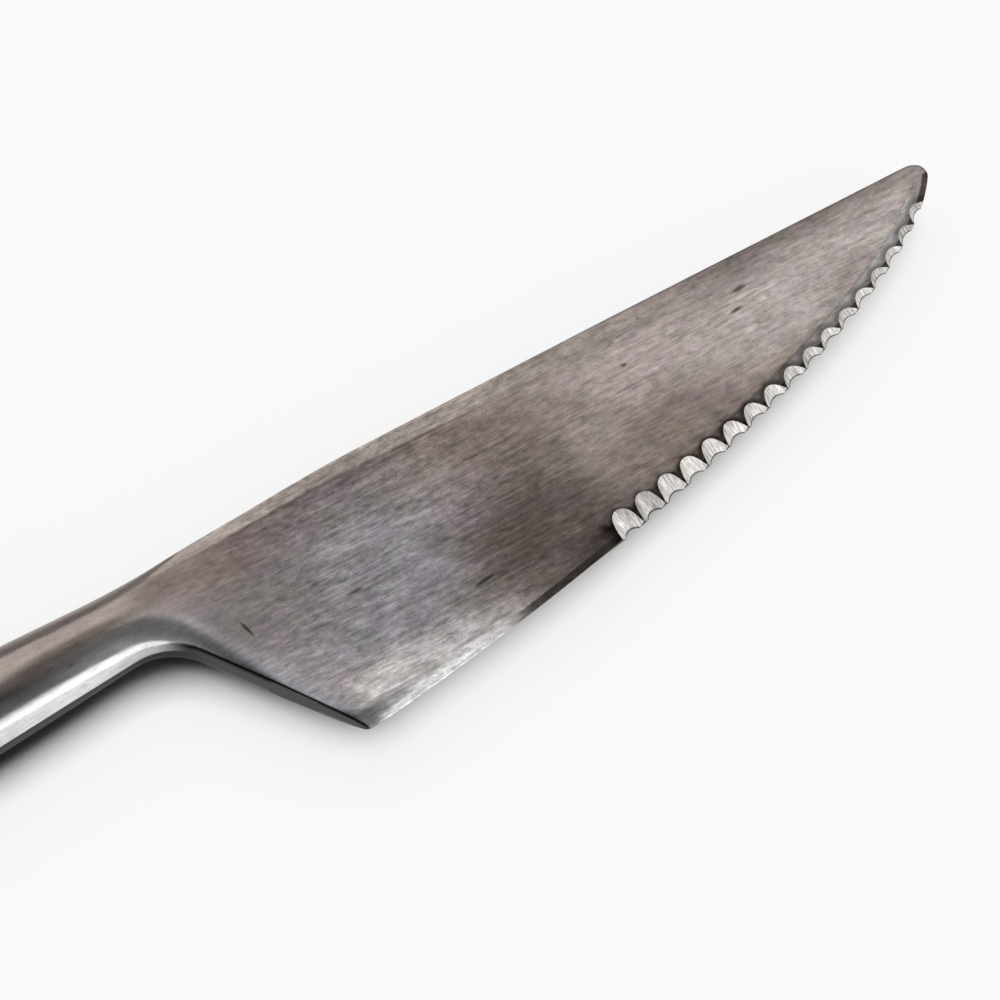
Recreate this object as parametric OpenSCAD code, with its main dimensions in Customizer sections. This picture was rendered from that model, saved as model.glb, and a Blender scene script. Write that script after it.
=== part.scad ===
// Stainless steel steak knife: a forged blade with a scalloped edge, whose
// rounded neck runs on into a hollow handle made of two pressed half shells.
// It lies on its back: +X to the point, +Y to the spine, +Z out of the front.

/* [Blade] */
// Length of the blade, from the corner of the heel to the point
blade_length = 94; // [80:1:120]
// Width of the blade, from the corner of the heel to the spine
blade_width = 30.9; // [28:0.1:36]
// Thickness along the spine, beside the neck
spine_thickness = 2.5; // [2:0.1:3.2]
// Thickness at the point
point_thickness = 1.3; // [1:0.1:1.8]
// Thickness at the heel, just above the honed bevel
edge_thickness = 1.1; // [0.8:0.1:1.6]
// Width of the flat strip under the spine that is left unground, at the heel
flat_width = 3; // [2:0.5:5]
// Length over which that strip narrows to nothing
flat_length = 50; // [30:1:70]
// Length of the front stretch that is also ground thinner to the point
taper_length = 45; // [30:1:60]
// Radius of the rounded point
tip_radius = 1.6; // [1:0.1:3]
// Direction of the edge where it meets the rounded point, in degrees
tip_angle = 52.5; // [46:0.5:58]

/* [Cutting edge] */
// Width of the honed bevel
bevel_width = 0.65; // [0.4:0.05:1]
// Thickness left at the very edge
keen_thickness = 0.12; // [0.05:0.01:0.3]
// Distance along the edge, from the corner of the heel to the first scallop
scallop_start = 36.6; // [25:0.1:50]
// Distance along the edge from one scallop to the next
scallop_pitch = 3.48; // [3:0.02:4.5]
// Height of the first scallop, above the edge
scallop_height = 2.8; // [2.4:0.1:3.6]
// Height of the last scallop, beside the point
last_scallop_height = 1.4; // [1.2:0.1:2]
// Radius of the wheel that ground the scallops
scallop_radius = 2.1; // [1.9:0.1:2.6]
// How far each scallop notches the line of the edge
scallop_notch = 0.5; // [0.3:0.05:0.8]
// Width of the ground land that the scallops are cut in
land_width = 1.9; // [1.2:0.1:2.4]
// Thickness left between two scallops, at their points
tooth_thickness = 0.7; // [0.4:0.05:0.9]

/* [Heel and neck] */
// Angle of the heel's back edge to the width of the blade, in degrees
heel_angle = 33; // [20:1:40]
// Height of the neck's underside above the corner of the heel, at its throat
heel_height = 20.8; // [17:0.1:22]
// Radius between the heel and the underside of the neck
heel_fillet = 7; // [3:0.5:9]
// Length from the corner of the heel back to the mouth of the handle
neck_length = 40; // [36:1:50]
// Length from the corner of the heel forward to where the neck's swell ends
swell_length = 10; // [4:0.5:14]
// Length from the corner of the heel back to where the top line is lowest
throat_distance = 12.5; // [11:0.5:18]
// Fall of the top line from the spine to the neck
shoulder_drop = 1.6; // [0.5:0.1:2.5]
// Length over which the top line falls
shoulder_length = 28; // [24:1:50]
// Width of the neck at the mouth of the handle
mouth_width = 10.9; // [10:0.1:13]
// Thickness of the neck at the mouth of the handle
mouth_thickness = 9.6; // [8.6:0.1:11]
// Fall of the neck's centre line from its throat to the mouth of the handle
neck_fall = 1; // [0:0.1:2]

/* [Handle] */
// Length of the handle behind the neck
handle_length = 86; // [75:1:100]
// Greatest width of the handle
handle_width = 20; // [16:0.5:24]
// Greatest thickness of the handle
handle_thickness = 12; // [11:0.5:14]
// Length of the rounded end of the handle
butt_length = 9; // [6:0.5:14]
// Fall of the handle's centre line from the mouth to the butt
handle_fall = 4; // [0:0.1:6]
// Wall of the two half shells
shell_wall = 0.8; // [0.6:0.05:1]
// Height of the braze between the two half shells
seam_height = 0.25; // [0.15:0.05:0.4]
// Depth of the flat that the handle rests on, under its round belly
rest_depth = 0.35; // [0.25:0.05:0.5]

/* [Tang] */
// Length of the plug that fits the mouth of the handle
plug_length = 5; // [3:0.5:8]
// Clearance of the plug in the mouth
plug_clearance = 0.05; // [0.02:0.01:0.1]
// Length of the tang behind the plug
tang_length = 55; // [40:1:60]
// Width of the tang
tang_width = 6.5; // [5:0.1:7]
// Thickness of the tang
tang_thickness = 3; // [2:0.1:3.6]
// Length of the cement behind the tang's end
cement_cover = 4; // [2:0.5:8]

/* [Hidden] */
$fn = 96;
// How far a cutting solid runs past the surface that it cuts
overrun = 1;

// Where the edge's curve is pulled to, as shares of the blade's length and
// width at its start, and of the blade's length at its end
edge_start_shares = [0.418, 0.13];
edge_end_share = 0.16;
// Squareness of a rounded section: 2 is an ellipse
section_power = 2.4;
// Rows of points across the blade and neck, from the spine to the edge
blade_rows = 11;
// Points round the handle
handle_points = 32;
// Sections along each stretch
neck_stations = 12;
fillet_stations = 7;
heel_stations = 7;
plain_stations = 10;
end_stations = 3;
tip_stations = 5;
handle_stations = 12;
butt_stations = 7;
// The point and the butt stop this many degrees short of their full round
round_stop = 6;
// Share of a side that stays straight on the roundest section
side_share = 0.03;
// Where the neck's round sides start to flatten, as a share of its length, and
// where they are flat, as a share of the throat's distance
flatten_shares = [0.5, 0.25];
// Greatest share of the blade's width that the ground land takes
land_share = 0.33;
// Where along the handle it reaches its full width and thickness
widest_share = 0.84;
thickest_share = 0.6;

// A rise from 0 to 1 with level ends
function ease(t) = (1 - cos(180 * min(1, max(0, t)))) / 2;
function blend(a, b, t) = a + (b - a) * t;
function heading(angle) = [cos(angle), sin(angle)];
function unit(v) = v / norm(v);
function total(list, count) = count <= 0 ? 0 : list[count - 1] + total(list, count - 1);
// Height of a rounded section at a place across it, both from 0 to 1
function roundness(across) = pow(max(0, 1 - pow(abs(across), section_power)), 1 / section_power);

// The cutting edge in plan: a curve from the corner of the heel, at zero, to
// the round of the point
tip_centre = [blade_length - tip_radius, blade_width - tip_radius];
edge_end = tip_centre + tip_radius * heading(tip_angle - 90);
edge_pulls = [
    [0, 0],
    [blade_length * edge_start_shares[0], blade_width * edge_start_shares[1]],
    edge_end - blade_length * edge_end_share * heading(tip_angle),
    edge_end
];
function edge_point(t) =
    pow(1 - t, 3) * edge_pulls[0] + 3 * pow(1 - t, 2) * t * edge_pulls[1]
    + 3 * (1 - t) * pow(t, 2) * edge_pulls[2] + pow(t, 3) * edge_pulls[3];
edge_steps = 60;
edge_points = [for (i = [0:edge_steps]) edge_point(i / edge_steps)];
edge_chords = [for (i = [1:edge_steps]) norm(edge_points[i] - edge_points[i - 1])];
edge_length = total(edge_chords, edge_steps);
edge_table = [for (i = [0:edge_steps]) [total(edge_chords, i), i / edge_steps]];
// Point of the edge at a distance along it, and its direction from one
// distance to another
function edge_at(distance) = edge_point(lookup(distance, edge_table));
function edge_turn(from, to) =
    let (run = edge_at(to) - edge_at(from)) atan2(run[1], run[0]);

scallop_count = floor((edge_length - scallop_start) / scallop_pitch);
scallop_end = scallop_start + scallop_count * scallop_pitch;

// The top line of the neck, blade and rounded point
throat_top = blade_width - shoulder_drop;
throat_centre = (throat_top + heel_height) / 2;
mouth_centre = throat_centre - neck_fall;
mouth_top = mouth_centre + mouth_width / 2;
mouth_low = mouth_centre - mouth_width / 2;
function top_line(x) =
    x > tip_centre[0]
    ? tip_centre[1] + sqrt(max(0, pow(tip_radius, 2) - pow(x - tip_centre[0], 2)))
    : x > -throat_distance
    ? blend(throat_top, blade_width, ease((x + throat_distance) / shoulder_length))
    : blend(throat_top, mouth_top, ease((-throat_distance - x) / (neck_length - throat_distance)));

// The corner between the underside of the neck and the heel, and its fillet
heel_corner = [-heel_height * tan(heel_angle), heel_height];
to_mouth = unit([-neck_length, mouth_low] - heel_corner);
to_edge = unit(-heel_corner);
corner_half_angle = acos(to_mouth * to_edge) / 2;
fillet_reach = heel_fillet / tan(corner_half_angle);
fillet_centre = heel_corner + unit(to_mouth + to_edge) * heel_fillet / sin(corner_half_angle);
fillet_start = heel_corner + to_mouth * fillet_reach;
fillet_end = heel_corner + to_edge * fillet_reach;
function turn_of(point) = let (arm = point - fillet_centre) atan2(arm[1], arm[0]);

// Half the thickness of the blade, without the neck's swell: flat under the
// spine, then ground straight to the edge, and thinner again to the point
grind_slope = (spine_thickness - edge_thickness) / 2 / (blade_width - flat_width);
taper_slope = (spine_thickness - point_thickness) / 2 / taper_length;
function ground_half(x, y) =
    let (
        ground = max(0, blade_width - y - flat_width * (1 - x / flat_length)),
        tapered = max(0, x - blade_length + taper_length)
    )
    spine_thickness / 2 - grind_slope * ground - taper_slope * tapered;
// What the neck's swell adds to it
function swell_half(x) =
    (mouth_thickness - spine_thickness) / 2 * ease((swell_length - x) / (swell_length + neck_length));
// How flat-sided a section is: hardly at all on the neck, wholly on the blade
flatten_from = -neck_length * flatten_shares[0];
flatten_to = -throat_distance * flatten_shares[1];
function flatness(x) =
    blend(side_share, 1, ease((x - flatten_from) / (flatten_to - flatten_from)));

// Stations along the neck and blade, each one [place along X, low end, top
// end, height of the edge's line, direction of that line, distance along it]
heel_turn = edge_turn(0, bevel_width);
function neck_station(point) =
    [point[0], point[1], top_line(point[0]), point[0] * tan(heel_turn), heel_turn, -bevel_width];
function edge_station(along) =
    let (
        point = edge_at(along),
        turn = edge_turn(max(0, along - bevel_width), min(edge_length, along + bevel_width))
    )
    [point[0], point[1], top_line(point[0]), point[1], turn, along];
function tip_station(turn) =
    let (point = tip_centre + tip_radius * heading(turn))
    [point[0], point[1], top_line(point[0]), point[1], tip_angle, edge_length];
bevel_corner = -to_edge * bevel_width / cos(heel_angle - heel_turn);
stations = concat(
    [
        for (i = [0:neck_stations - 1])
            neck_station(blend([-neck_length, mouth_low], fillet_start, i / neck_stations))
    ],
    [
        for (i = [0:fillet_stations - 1])
            let (turn = blend(turn_of(fillet_start), turn_of(fillet_end), i / fillet_stations))
            neck_station(fillet_centre + heel_fillet * heading(turn))
    ],
    [for (i = [0:heel_stations]) neck_station(blend(fillet_end, bevel_corner, i / heel_stations))],
    [for (i = [0:plain_stations - 1]) edge_station(scallop_start * i / plain_stations)],
    [for (i = [0:scallop_count]) edge_station(scallop_start + scallop_pitch * i)],
    [
        for (i = [1:end_stations])
            edge_station(blend(scallop_end, edge_length, i / end_stations))
    ],
    [
        for (i = [1:tip_stations])
            tip_station(blend(tip_angle - 90, -round_stop, i / tip_stations))
    ]
);

// Half the thickness of the front or the back at a height across a station
function side_half(station, y, front) =
    let (
        across = (2 * y - station[2] - station[1]) / (station[2] - station[1]),
        full = (ground_half(station[0], y) + swell_half(station[0]))
            * blend(roundness(across), 1, flatness(station[0])),
        height = (y - station[3]) * cos(station[4]),
        honed = blend(keen_thickness, edge_thickness, height / bevel_width) / 2,
        land = blend(tooth_thickness - full, full, height / land_width)
    )
    station[5] < scallop_start ? min(full, honed)
    : front && station[5] <= scallop_end ? min(full, land)
    : full;

// Height of the land across a station, which closes up along the heel
function land_height(station) =
    let (whole = min(land_width / cos(station[4]), (station[2] - station[1]) * land_share))
    station[5] < 0
    ? whole * blend(1, side_share, min(1, station[1] / heel_height))
    : whole;

// One closed ring of points across a station, down the front and up the back
function blade_section(station) =
    let (
        low = station[1],
        land = land_height(station),
        rows = concat(
            [for (i = [0:blade_rows]) blend(station[2], low + land, ease(i / blade_rows))],
            [low + land * bevel_width / land_width, low]
        ),
        count = len(rows)
    )
    concat(
        [for (y = rows) [station[0], y, side_half(station, y, true)]],
        [for (i = [count - 1:-1:0]) [station[0], rows[i], -side_half(station, rows[i], false)]]
    );

// Sections of the handle at a distance behind its mouth, drawn in by a margin
body_length = handle_length - butt_length;
butt_sweep = 90 - round_stop;
function handle_centre(back) = mouth_centre - handle_fall * ease(back / handle_length);
function handle_half_width(back) =
    blend(mouth_width, handle_width, ease(back / (handle_length * widest_share))) / 2;
function handle_half_height(back) =
    blend(mouth_thickness, handle_thickness, ease(back / (handle_length * thickest_share))) / 2;
function signed_root(v) = sign(v) * pow(abs(v), 2 / section_power);
function handle_section(back, margin, end_share) = [
    for (i = [0:handle_points - 1])
        let (angle = 360 * i / handle_points)
        [
            -neck_length - back,
            handle_centre(back)
                + (handle_half_width(back) - margin) * end_share * signed_root(cos(angle)),
            (handle_half_height(back) - margin) * end_share * signed_root(sin(angle))
        ]
];
// All its sections from the butt forward, with the mouth moved on by a reach
function handle_sections(margin, reach) = concat(
    [
        for (i = [butt_stations:-1:1])
            let (
                turn = butt_sweep * i / butt_stations,
                back = body_length + (butt_length - margin) * sin(turn) / sin(butt_sweep)
            )
            handle_section(back, margin, cos(turn))
    ],
    [
        for (i = [handle_stations:-1:0])
            handle_section(i > 0 ? body_length * i / handle_stations : -reach, margin, 1)
    ]
);

// Where the finished knife stands: on its flat, at the middle of its box
tip_x = tip_centre[0] + tip_radius * cos(round_stop);
butt_x = -neck_length - handle_length;
handle_sides = [
    for (i = [0:handle_stations])
        let (back = body_length * i / handle_stations)
        [handle_centre(back) - handle_half_width(back), handle_centre(back) + handle_half_width(back)]
];
low_y = min(0, min([for (side = handle_sides) side[0]]));
high_y = max(blade_width, max([for (side = handle_sides) side[1]]));
rest_z = -handle_thickness / 2 + rest_depth;
module in_place() {
    translate([-(tip_x + butt_x) / 2, -(low_y + high_y) / 2, -rest_z]) children();
}

// A closed solid through a row of sections, each a ring of as many points,
// that runs along +X
module loft(sections) {
    count = len(sections);
    ring = len(sections[0]);
    sides = [
        for (i = [0:count - 2], j = [0:ring - 1])
            let (a = i * ring + j, b = i * ring + (j + 1) % ring)
            each [[a, a + ring, b], [b, a + ring, b + ring]]
    ];
    first = [for (j = [0:ring - 1]) j];
    last = [for (j = [ring - 1:-1:0]) (count - 1) * ring + j];
    polyhedron([for (section = sections) each section], concat([first], sides, [last]));
}

// One scallop's cutter: a wheel's round face, which starts in the blade's
// front at a height above the edge and leaves through its back
module scallop_cut(place, turn, height, notch) {
    half = ground_half(place[0], place[1]);
    rise = atan(2 * half / (height - notch));
    below = notch / cos(rise) + overrun;
    above = (height - notch) / cos(rise) + overrun;
    translate([place[0], place[1], 0])
        rotate([0, 0, turn])
            translate([0, notch, -half])
                rotate([rise - 90, 0, 0])
                    translate([0, -scallop_radius, -below])
                        cylinder(h = below + above, r = scallop_radius);
}

plug_x = -neck_length - plug_length;
// The plug, which also reaches a little way into the end of the neck
module plug() {
    margin = shell_wall + plug_clearance;
    loft([handle_section(plug_length, margin, 1), handle_section(-overrun, margin, 1)]);
}

module tang() {
    translate([plug_x - tang_length, mouth_centre - tang_width / 2, -tang_thickness / 2])
        cube([tang_length + plug_length, tang_width, tang_thickness]);
}

module blade() {
    color("silver") in_place() {
        difference() {
            loft([for (station = stations) blade_section(station)]);
            for (i = [0:scallop_count - 1]) {
                from = scallop_start + scallop_pitch * i;
                share = i / max(1, scallop_count - 1);
                scallop_cut(
                    edge_at(from + scallop_pitch / 2),
                    edge_turn(from, from + scallop_pitch),
                    blend(scallop_height, last_scallop_height, share),
                    scallop_notch
                );
            }
        }
        plug();
        tang();
    }
}

// What lies between two places along the handle and between two heights
module handle_slice(back, front, bottom, top) {
    intersection() {
        children();
        translate([back, low_y - overrun, bottom])
            cube([front - back, high_y - low_y + 2 * overrun, top - bottom]);
    }
}

// The handle's outer form or its hollow, with a flat cut at the bottom
module handle_form(margin, reach) {
    handle_slice(butt_x - overrun, -neck_length + overrun + reach, rest_z + margin, handle_thickness)
        loft(handle_sections(margin, reach));
}

// The wall of the handle between two heights
module handle_wall(bottom, top) {
    handle_slice(butt_x - overrun, -neck_length + overrun, bottom, top)
        difference() {
            handle_form(0, 0);
            handle_form(shell_wall, overrun);
        }
}

module handle_shell_front() {
    color("gainsboro") in_place() handle_wall(seam_height / 2, handle_thickness);
}

module handle_shell_back() {
    color("lightgray") in_place() handle_wall(-handle_thickness, -seam_height / 2);
}

module seam_braze() {
    color("khaki") in_place() handle_wall(-seam_height / 2, seam_height / 2);
}

module tang_cement() {
    cement_back = plug_x - tang_length - cement_cover;
    color("dimgray") in_place() {
        difference() {
            handle_slice(cement_back, plug_x, -handle_thickness, handle_thickness)
                handle_form(shell_wall, overrun);
            tang();
        }
    }
}

blade();
handle_shell_front();
handle_shell_back();
seam_braze();
tang_cement();
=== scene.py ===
# Steak knife of stainless steel: a forged blade with a ground scalloped edge,
# a seamless rounded neck and a hollow handle. It is modelled in millimetres
# from the corner of its heel, and brought to its place in metres at the end.
import math

import bmesh
import bpy
import numpy as np
from mathutils import Matrix, Vector


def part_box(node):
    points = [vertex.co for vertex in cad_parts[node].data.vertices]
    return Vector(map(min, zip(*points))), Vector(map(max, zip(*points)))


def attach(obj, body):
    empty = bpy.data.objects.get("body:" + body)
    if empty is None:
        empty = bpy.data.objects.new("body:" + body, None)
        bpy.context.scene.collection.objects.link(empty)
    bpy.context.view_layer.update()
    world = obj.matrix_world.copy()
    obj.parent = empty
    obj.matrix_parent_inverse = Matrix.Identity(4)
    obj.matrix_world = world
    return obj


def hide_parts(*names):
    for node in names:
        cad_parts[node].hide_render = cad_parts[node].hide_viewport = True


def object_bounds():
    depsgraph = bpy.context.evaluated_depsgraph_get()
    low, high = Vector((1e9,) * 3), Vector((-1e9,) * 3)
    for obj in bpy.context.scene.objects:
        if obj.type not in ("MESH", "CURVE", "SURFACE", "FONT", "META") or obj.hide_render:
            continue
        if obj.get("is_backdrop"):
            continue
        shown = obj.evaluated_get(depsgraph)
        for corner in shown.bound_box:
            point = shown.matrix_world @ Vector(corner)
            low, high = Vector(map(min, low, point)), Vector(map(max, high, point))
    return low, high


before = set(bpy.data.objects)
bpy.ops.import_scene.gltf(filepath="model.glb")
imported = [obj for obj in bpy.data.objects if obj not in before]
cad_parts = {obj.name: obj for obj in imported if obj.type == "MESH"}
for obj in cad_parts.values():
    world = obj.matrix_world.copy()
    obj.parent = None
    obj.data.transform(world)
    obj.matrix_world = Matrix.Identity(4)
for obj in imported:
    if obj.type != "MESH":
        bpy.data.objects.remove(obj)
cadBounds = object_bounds()
bladeLow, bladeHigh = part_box("blade")
millimetre = 0.001


def ease(t):
    return (1 - math.cos(math.pi * min(1, max(0, t)))) / 2  # a rise with level ends


def mix(a, b, t):
    return a + (b - a) * t


def toLinear(hexColour):
    channels = [int(hexColour[i:i + 2], 16) / 255 for i in (1, 3, 5)]
    return tuple(c / 12.92 if c <= 0.04045 else ((c + 0.055) / 1.055) ** 2.4 for c in channels) + (1,)


def addNode(tree, kind, settings=None, links=None):
    node = tree.nodes.new(kind)
    for name, value in (settings or {}).items():
        if isinstance(name, int) or name in node.inputs:
            node.inputs[name].default_value = value
        else:
            setattr(node, name, value)
    for name, source in (links or {}).items():
        tree.links.new(source, node.inputs[name])
    return node


def newMaterial(name):
    material = bpy.data.materials.new(name)
    material.use_nodes = True
    material.node_tree.nodes.clear()
    return material, material.node_tree


def makeOnly(piece):
    bpy.ops.object.select_all(action="DESELECT")
    piece.select_set(True)
    bpy.context.view_layer.objects.active = piece


def addModifier(piece, kind, settings):
    makeOnly(piece)
    modifier = piece.modifiers.new(kind.lower(), kind)
    for name, value in settings.items():
        setattr(modifier, name, value)
    bpy.ops.object.modifier_apply(modifier=modifier.name)


# The blade and its neck, as one forging

blade = {
    "length": 94,
    "width": 30.9,
    "spineThickness": 2.5,
    "pointThickness": 1.3,
    "edgeThickness": 1.1,
    "flatWidth": 3,  # unground strip under the spine, which runs out forward
    "flatLength": 50,
    "taperLength": 45,
    "tipRadius": 1.6,
    "tipTurn": math.radians(52.5),
    "tipEnd": -0.1,  # turn at which the last ring of the cage closes the point
    "edgeStart": (0.418, 0.13),  # pull of the edge's curve, as shares of length and width
    "edgeEnd": 0.16,
    "bevelWidth": 0.65,
    "keenThickness": 0.12,
    "arrisRadius": 0.12,
    "rows": 10,
}
neck = {
    "length": 40,
    "heelTurn": math.radians(33),
    "heelHeight": 20.8,
    "fillet": 7,
    "swellLength": 10,
    "throat": 12.5,
    "shoulderDrop": 1.6,
    "shoulderLength": 28,
    "width": 10.9,
    "thickness": 9.6,
    "fall": 1,
    "flatten": (-20, -3.1),  # where its round sides start to flatten, and where they are flat
    "sideShare": 0.03,
    "power": 2.4,
}
scallops = {
    "start": 36.6,
    "pitch": 3.48,
    "height": 2.8,
    "lastHeight": 1.2,
    "radius": 2.1,
    "notch": 0.5,
    "landWidth": 1.9,
    "toothThickness": 0.7,
    "archPower": 0.5,  # roundness of the painted shade over each of them
    "archFoot": 0.25,  # height of that painted shade at a tooth, as a share of its full height
    "runOut": 2,  # slope at which its height falls beyond the last scallop
    "overrun": 1,  # how far the wheel stands out of the steel at both ends
}
# Rings of the blade's cage along each stretch of its lower outline
cage = {"neck": 12, "fillet": 8, "heel": 8, "edge": 12, "point": 3, "tip": 6}


def heading(turn):
    return Vector((math.cos(turn), math.sin(turn)))


tipCentre = Vector((blade["length"] - blade["tipRadius"], blade["width"] - blade["tipRadius"]))
edgeTip = tipCentre + heading(blade["tipTurn"] - math.pi / 2) * blade["tipRadius"]
edgePulls = [
    Vector((0, 0)),
    Vector((blade["length"] * blade["edgeStart"][0], blade["width"] * blade["edgeStart"][1])),
    edgeTip - heading(blade["tipTurn"]) * blade["length"] * blade["edgeEnd"],
    edgeTip,
]
edgeSteps = 240
edgePoints = np.array([
    sum((pull * share for pull, share in zip(
        edgePulls, ((1 - t) ** 3, 3 * (1 - t) ** 2 * t, 3 * (1 - t) * t * t, t ** 3))), Vector((0, 0)))
    for t in (i / edgeSteps for i in range(edgeSteps + 1))
])
edgeRuns = np.concatenate([[0], np.cumsum(np.linalg.norm(np.diff(edgePoints, axis=0), axis=1))])
edgeLength = edgeRuns[-1]
scallopCount = int((edgeLength - scallops["start"]) / scallops["pitch"])
scallopEnd = scallops["start"] + scallopCount * scallops["pitch"]


def edgeAt(distance):
    return Vector([np.interp(distance, edgeRuns, edgePoints[:, i]) for i in (0, 1)])


def edgeTurn(start, end):
    run = edgeAt(min(end, edgeLength)) - edgeAt(max(start, 0))
    return math.atan2(run.y, run.x)


def scallopHeight(share):
    return mix(scallops["height"], scallops["lastHeight"], 1 - (1 - share) ** 2)


throatTop = blade["width"] - neck["shoulderDrop"]
neckCentre = (throatTop + neck["heelHeight"]) / 2 - neck["fall"]


def topLine(x):
    if x > tipCentre.x:
        return tipCentre.y + math.sqrt(max(0, blade["tipRadius"] ** 2 - (x - tipCentre.x) ** 2))
    if x > -neck["throat"]:
        return mix(throatTop, blade["width"], ease((x + neck["throat"]) / neck["shoulderLength"]))
    back = (-neck["throat"] - x) / (neck["length"] - neck["throat"])
    return mix(throatTop, neckCentre + neck["width"] / 2, ease(back))


def halfThickness(x, y):
    ground = max(0, blade["width"] - y - blade["flatWidth"] * (1 - x / blade["flatLength"]))
    grind = (blade["spineThickness"] - blade["edgeThickness"]) / 2 / (blade["width"] - blade["flatWidth"])
    tapered = max(0, x - blade["length"] + blade["taperLength"]) / blade["taperLength"]
    taper = (blade["spineThickness"] - blade["pointThickness"]) / 2
    return blade["spineThickness"] / 2 - grind * ground - taper * tapered


def neckSwell(x):
    full = (neck["thickness"] - blade["spineThickness"]) / 2
    return full * ease((neck["swellLength"] - x) / (neck["swellLength"] + neck["length"]))


def flatness(x):
    start, end = neck["flatten"]
    return mix(neck["sideShare"], 1, ease((x - start) / (end - start)))


def roundness(across):
    return max(0, 1 - abs(across) ** neck["power"]) ** (1 / neck["power"])


# A station is a place along the knife: its x, its lowest y, the y and the turn
# of the edge's line there, and the distance along the edge
heelLineTurn = edgeTurn(0, blade["bevelWidth"])
heelCorner = Vector((-neck["heelHeight"] * math.tan(neck["heelTurn"]), neck["heelHeight"]))
mouthLow = Vector((-neck["length"], neckCentre - neck["width"] / 2))
toMouth = (mouthLow - heelCorner).normalized()
toEdge = -heelCorner.normalized()
halfCorner = toMouth.angle(toEdge) / 2
filletCentre = heelCorner + (toMouth + toEdge).normalized() * neck["fillet"] / math.sin(halfCorner)
filletStart = heelCorner + toMouth * neck["fillet"] / math.tan(halfCorner)
filletEnd = heelCorner + toEdge * neck["fillet"] / math.tan(halfCorner)


def neckStation(point):
    return (point.x, point.y, point.x * math.tan(heelLineTurn), heelLineTurn, -blade["bevelWidth"])


def edgeStation(along):
    point = edgeAt(along)
    turn = edgeTurn(along - blade["bevelWidth"], along + blade["bevelWidth"])
    return (point.x, point.y, point.y, turn, along)


def tipStation(turn):
    point = tipCentre + heading(turn) * blade["tipRadius"]
    return (point.x, point.y, point.y, blade["tipTurn"], edgeLength)


def knifeStations():
    steps = cage["neck"]
    found = [neckStation(mouthLow.lerp(filletStart, i / steps)) for i in range(steps)]
    turns = [math.atan2(*(end - filletCentre).yx) for end in (filletStart, filletEnd)]
    steps = cage["fillet"]
    for i in range(steps):
        found.append(neckStation(filletCentre + heading(mix(*turns, i / steps)) * neck["fillet"]))
    lastOnHeel = toEdge * -blade["bevelWidth"]
    steps = cage["heel"]
    found += [neckStation(filletEnd.lerp(lastOnHeel, i / steps)) for i in range(steps + 1)]
    steps = cage["edge"]
    found += [edgeStation(scallops["start"] * i / steps) for i in range(steps)]
    found += [edgeStation(scallops["start"] + scallops["pitch"] * i) for i in range(scallopCount + 1)]
    steps = cage["point"]
    found += [edgeStation(mix(scallopEnd, edgeLength, i / steps)) for i in range(1, steps + 1)]
    steps = cage["tip"]
    turns = (blade["tipTurn"] - math.pi / 2, blade["tipEnd"])
    found += [tipStation(mix(*turns, i / steps)) for i in range(1, steps + 1)]
    return found


def sideHalf(station, y, top, isFront):
    x, low, lineY, lineTurn, along = station
    across = (2 * y - top - low) / (top - low)
    full = (halfThickness(x, y) + neckSwell(x)) * mix(roundness(across), 1, flatness(x))
    above = (y - lineY) * math.cos(lineTurn)
    if along < scallops["start"]:
        honed = mix(blade["keenThickness"], blade["edgeThickness"], above / blade["bevelWidth"]) / 2
        return min(full, honed)
    if isFront and along <= scallopEnd:
        return min(full, mix(scallops["toothThickness"] - full, full, above / scallops["landWidth"]))
    return full


def sectionPoints(station):
    x, low, lineY, lineTurn, along = station
    top = topLine(x)
    land = min(scallops["landWidth"] / math.cos(lineTurn), (top - low) / 3)
    if along < 0:
        land *= mix(1, neck["sideShare"], min(1, low / neck["heelHeight"]))
    rows = [mix(top, low + land, ease(i / blade["rows"])) for i in range(blade["rows"] + 1)]
    rows += [low + land * blade["bevelWidth"] / scallops["landWidth"], low]
    front = [Vector((x, y, sideHalf(station, y, top, True))) for y in rows]
    back = [Vector((x, y, -sideHalf(station, y, top, False))) for y in rows]
    return front + back[::-1]


def pullRing(ring, targets):
    for vertex, target in zip(ring, targets):
        vertex.select_set(True)
        bpy.ops.transform.translate(value=target - vertex.co)
        vertex.select_set(False)


def startRing(name, targets):
    bpy.ops.object.select_all(action="DESELECT")
    bpy.ops.mesh.primitive_circle_add(vertices=len(targets), radius=1, location=(0, 0, 0))
    piece = bpy.context.object
    piece.name = name
    bpy.ops.object.mode_set(mode="EDIT")
    mesh = bmesh.from_edit_mesh(piece.data)
    bpy.ops.mesh.select_all(action="DESELECT")
    ring = list(mesh.verts)
    pullRing(ring, targets)
    return piece, mesh, ring


def nextRing(ring, move):
    for vertex in ring:
        vertex.select_set(True)
    for edge in set(edge for vertex in ring for edge in vertex.link_edges):
        if all(vertex.select for vertex in edge.verts):
            edge.select_set(True)
    bpy.ops.mesh.extrude_edges_move(TRANSFORM_OT_translate={"value": move})
    found = []
    for vertex in ring:
        found.append(next(e.other_vert(vertex) for e in vertex.link_edges if e.other_vert(vertex).select))
    return found


def closeRing(mesh, ring):
    bpy.ops.mesh.select_all(action="DESELECT")
    for vertex in ring:
        vertex.select_set(True)
    mesh.select_flush_mode()
    bpy.ops.mesh.edge_face_add()
    bpy.ops.mesh.select_all(action="DESELECT")


stations = knifeStations()
knife, mesh, ring = startRing("forgedBlade", sectionPoints(stations[0]))
rings = [ring]
for before, station in zip(stations, stations[1:]):
    ring = nextRing(ring, (station[0] - before[0], 0, 0))
    bpy.ops.mesh.select_all(action="DESELECT")
    pullRing(ring, sectionPoints(station))
    rings.append(ring)
closeRing(mesh, rings[0])
closeRing(mesh, rings[-1])
print("blade's cage:", len(rings), "rings of", len(ring))

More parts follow.
